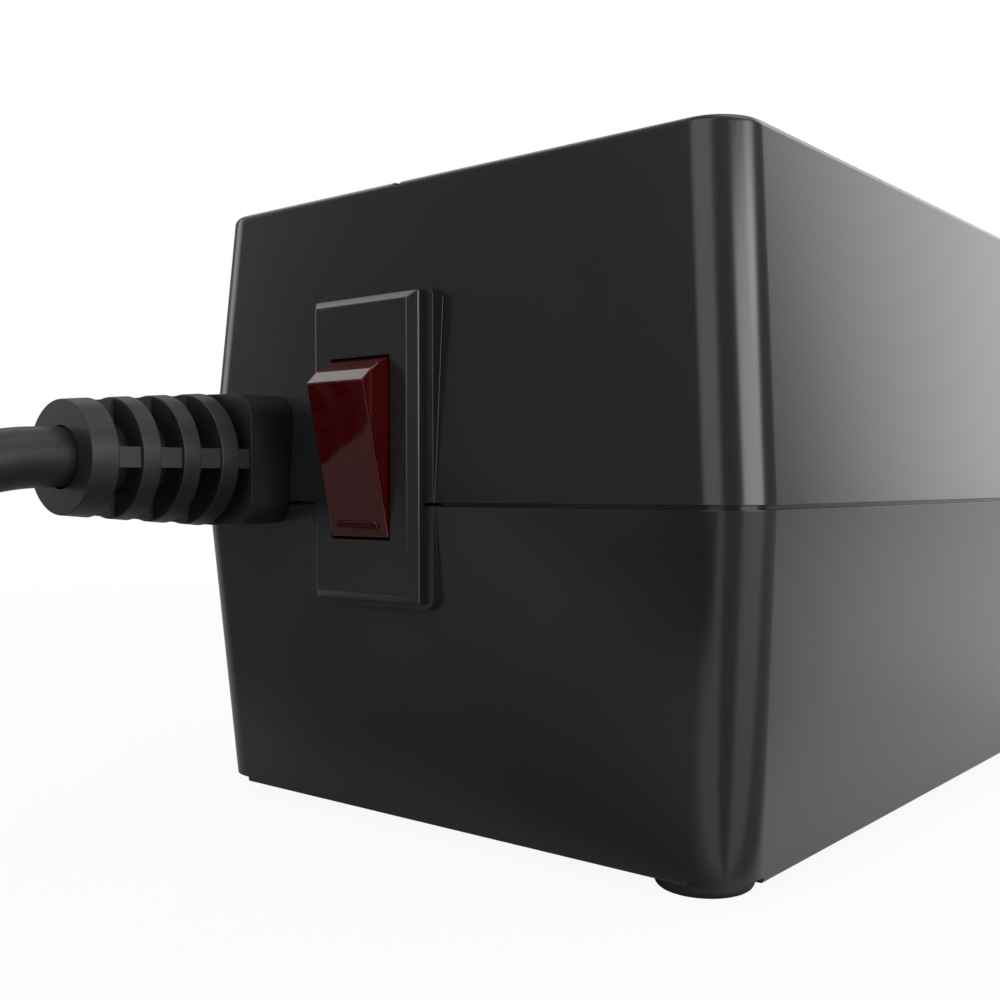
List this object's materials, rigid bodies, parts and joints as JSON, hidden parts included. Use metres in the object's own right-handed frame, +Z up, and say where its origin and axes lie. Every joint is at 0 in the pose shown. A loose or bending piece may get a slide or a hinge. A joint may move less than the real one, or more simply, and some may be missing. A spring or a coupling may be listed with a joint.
{
  "type": "automatic voltage regulator",
  "caption": "Mains voltage regulator: a moulded two-part case with a rocker switch and cord at one end, grounded receptacles in the top, transformer and relays inside",
  "frame": {"origin": "middle of the base of the box round the case, the switch and the feet, without the cord and its strain relief; z = 0 is the underside of the feet", "axes": "+X runs from the end with the switch and the cord to the far end, +Y towards the long side next to the cord, +Z up"},
  "size_m": [0.3704, 0.127, 0.0927],
  "materials": {
    "case": "fine satin black, moulded",
    "trim": "black, moulded",
    "switch_plastic": "satin black",
    "rocker_plastic": "dark red, translucent",
    "contact_brass": "plain",
    "copper": "plain copper",
    "enamelled_wire": "enamelled copper wire, wound",
    "lens_plastic": "frosted, clear",
    "lamp": "clear, orange inside",
    "led_green": "clear green",
    "board": "green laminate",
    "cable_grey": "grey sleeve",
    "steel": "zinc plated",
    "cord_rubber": "dark grey satin",
    "tie": "black",
    "foot_rubber": "black",
    "lamination": "silicon steel, varnished",
    "bobbin": "natural nylon",
    "tape": "yellow film",
    "lead_red": "red",
    "relay_blue": "blue",
    "can_sleeve": "dark blue sleeve",
    "film_box": "yellow",
    "chip": "black epoxy",
    "disc": "orange coating",
    "fuse_glass": "clear with metal caps",
    "wire_brown": "brown",
    "wire_blue": "blue",
    "wire_green": "green"
  },
  "bodies": {
    "case": {"upper_shell": "case", "lower_shell": "case", "receptacle_1": "trim", "receptacle_2": "trim", "receptacle_3": "trim", "receptacle_4": "trim", "receptacle_5": "trim", "receptacle_6": "trim", "receptacle_7": "trim", "receptacle_8": "trim", "contact_tray_near": "trim", "contact_tray_far": "trim", "live_bus": "contact_brass", "neutral_bus": "contact_brass", "earth_bus": "contact_brass", "indicator_lenses": "lens_plastic", "indicator_leds": "led_green", "indicator_board": "board", "indicator_cable": "cable_grey", "switch_housing": "switch_plastic", "switch_terminals": "contact_brass", "strain_relief": "cord_rubber", "cord_lead": "cord_rubber", "cord_coil": "cord_rubber", "cord_tail": "cord_rubber", "coil_tie": "tie", "plug_body": "cord_rubber", "plug_blades": "contact_brass", "plug_ground_pin": "contact_brass", "rubber_feet": "foot_rubber", "case_screws": "steel", "small_screws": "steel", "transformer_core": "lamination", "bobbin": "bobbin", "winding": "enamelled_wire", "winding_tape": "tape", "core_bracket": "steel", "bracket_screws": "steel", "winding_leads": "lead_red", "circuit_board": "board", "relay_1": "relay_blue", "relay_2": "relay_blue", "relay_3": "relay_blue", "capacitors": "can_sleeve", "filter_capacitor": "film_box", "control_chip": "chip", "rectifier": "chip", "varistor": "disc", "fuse": "fuse_glass", "fuse_clips": "contact_brass", "board_tabs": "contact_brass", "live_wires": "wire_brown", "neutral_wires": "wire_blue", "earth_wires": "wire_green"},
    "rocker": {"rocker": "rocker_plastic", "rocker_lamp": "lamp", "switch_plunger": "contact_brass", "plunger_spring": "steel"},
    "lever": {"contact_lever": "copper"}
  },
  "joints": [
    {"name": "rocker_tilt", "type": "hinge", "parent": "case", "child": "rocker", "pos_m": [-0.07395, 0.0088, 0.05465], "axis": [0, 1, 0], "range_deg": [0, 25.4]},
    {"name": "lever_tilt", "type": "hinge", "parent": "case", "child": "lever", "pos_m": [-0.06639, 0.0088, 0.05465], "axis": [0, 1, 0], "range_deg": [-14, 0]}
  ],
  "couplings": [
    {"joint": "lever_tilt", "follows": "rocker_tilt", "ratio": -0.5511}
  ]
}
